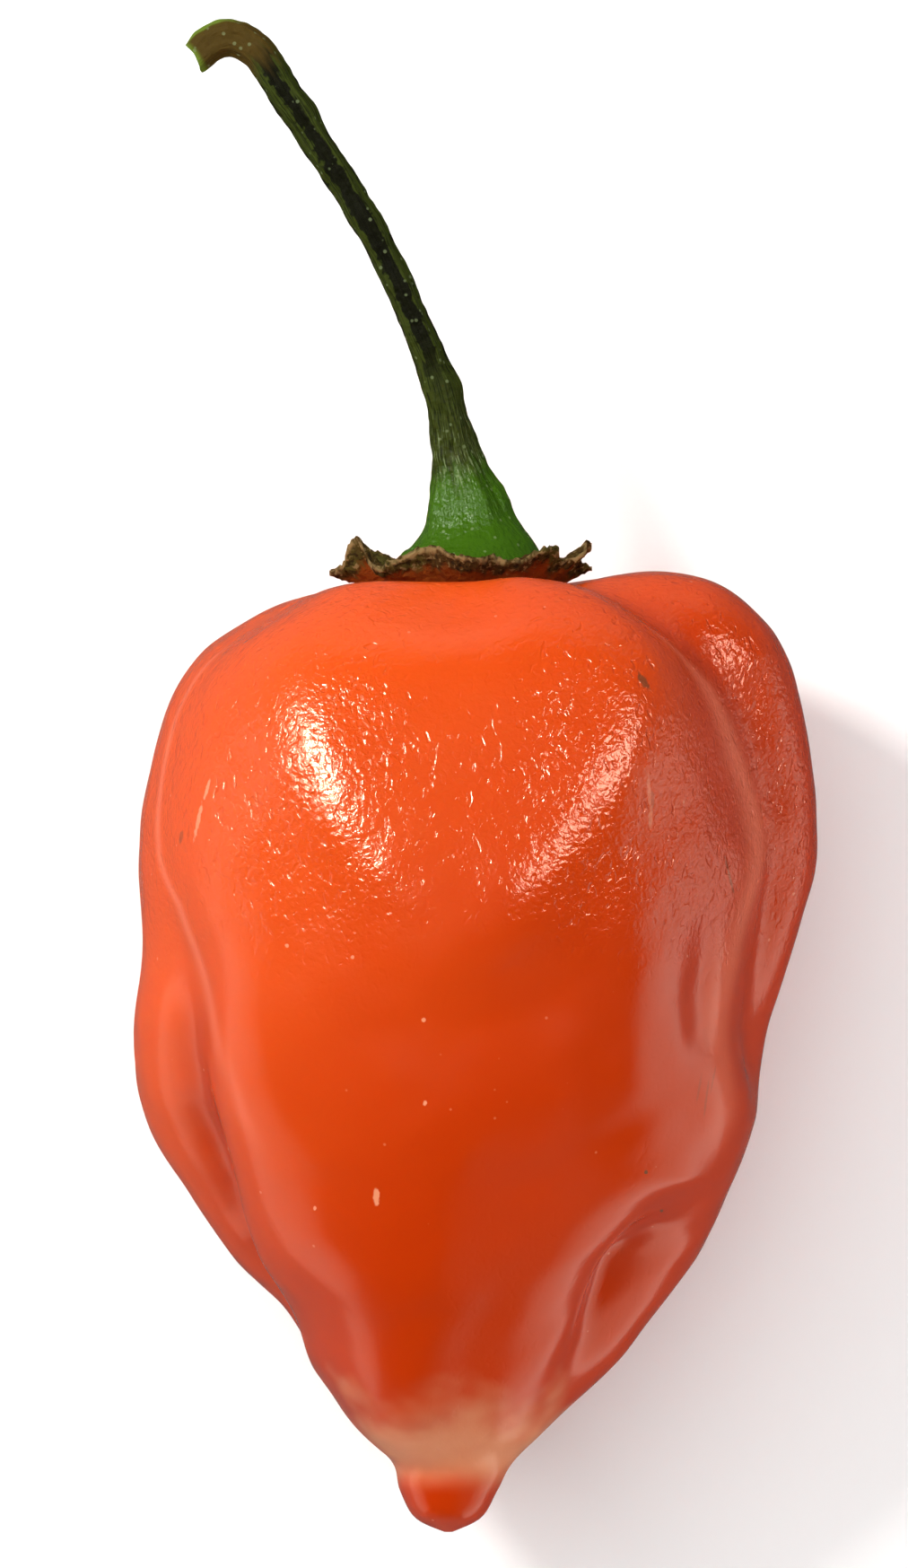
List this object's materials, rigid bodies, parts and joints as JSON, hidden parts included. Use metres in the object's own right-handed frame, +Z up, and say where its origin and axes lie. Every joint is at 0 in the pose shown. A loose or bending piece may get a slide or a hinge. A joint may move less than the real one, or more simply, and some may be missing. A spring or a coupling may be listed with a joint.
{
  "type": "chilli pepper",
  "caption": "Ripe orange habanero chilli lying on its side: broad lobed fruit with a nipple tip, dried ragged calyx and a curved, hooked green stalk.",
  "frame": {"origin": "on the table, under the middle of the box round the whole chilli", "axes": "+Z up, +Y along the fruit from its tip towards the stalk, +X to the side of the higher shoulder"},
  "size_m": [0.0368, 0.0816, 0.0335],
  "materials": {
    "skin": "waxy, glossy orange skin with a fine pebble",
    "calyx": "dried, brown and papery, with paler curled edges",
    "stalk": "dark green with ribs, bright green at its foot and brown at the torn end"
  },
  "bodies": {
    "root": {"fruit": "skin", "calyx": "calyx", "stalk": "stalk"}
  },
  "joints": []
}
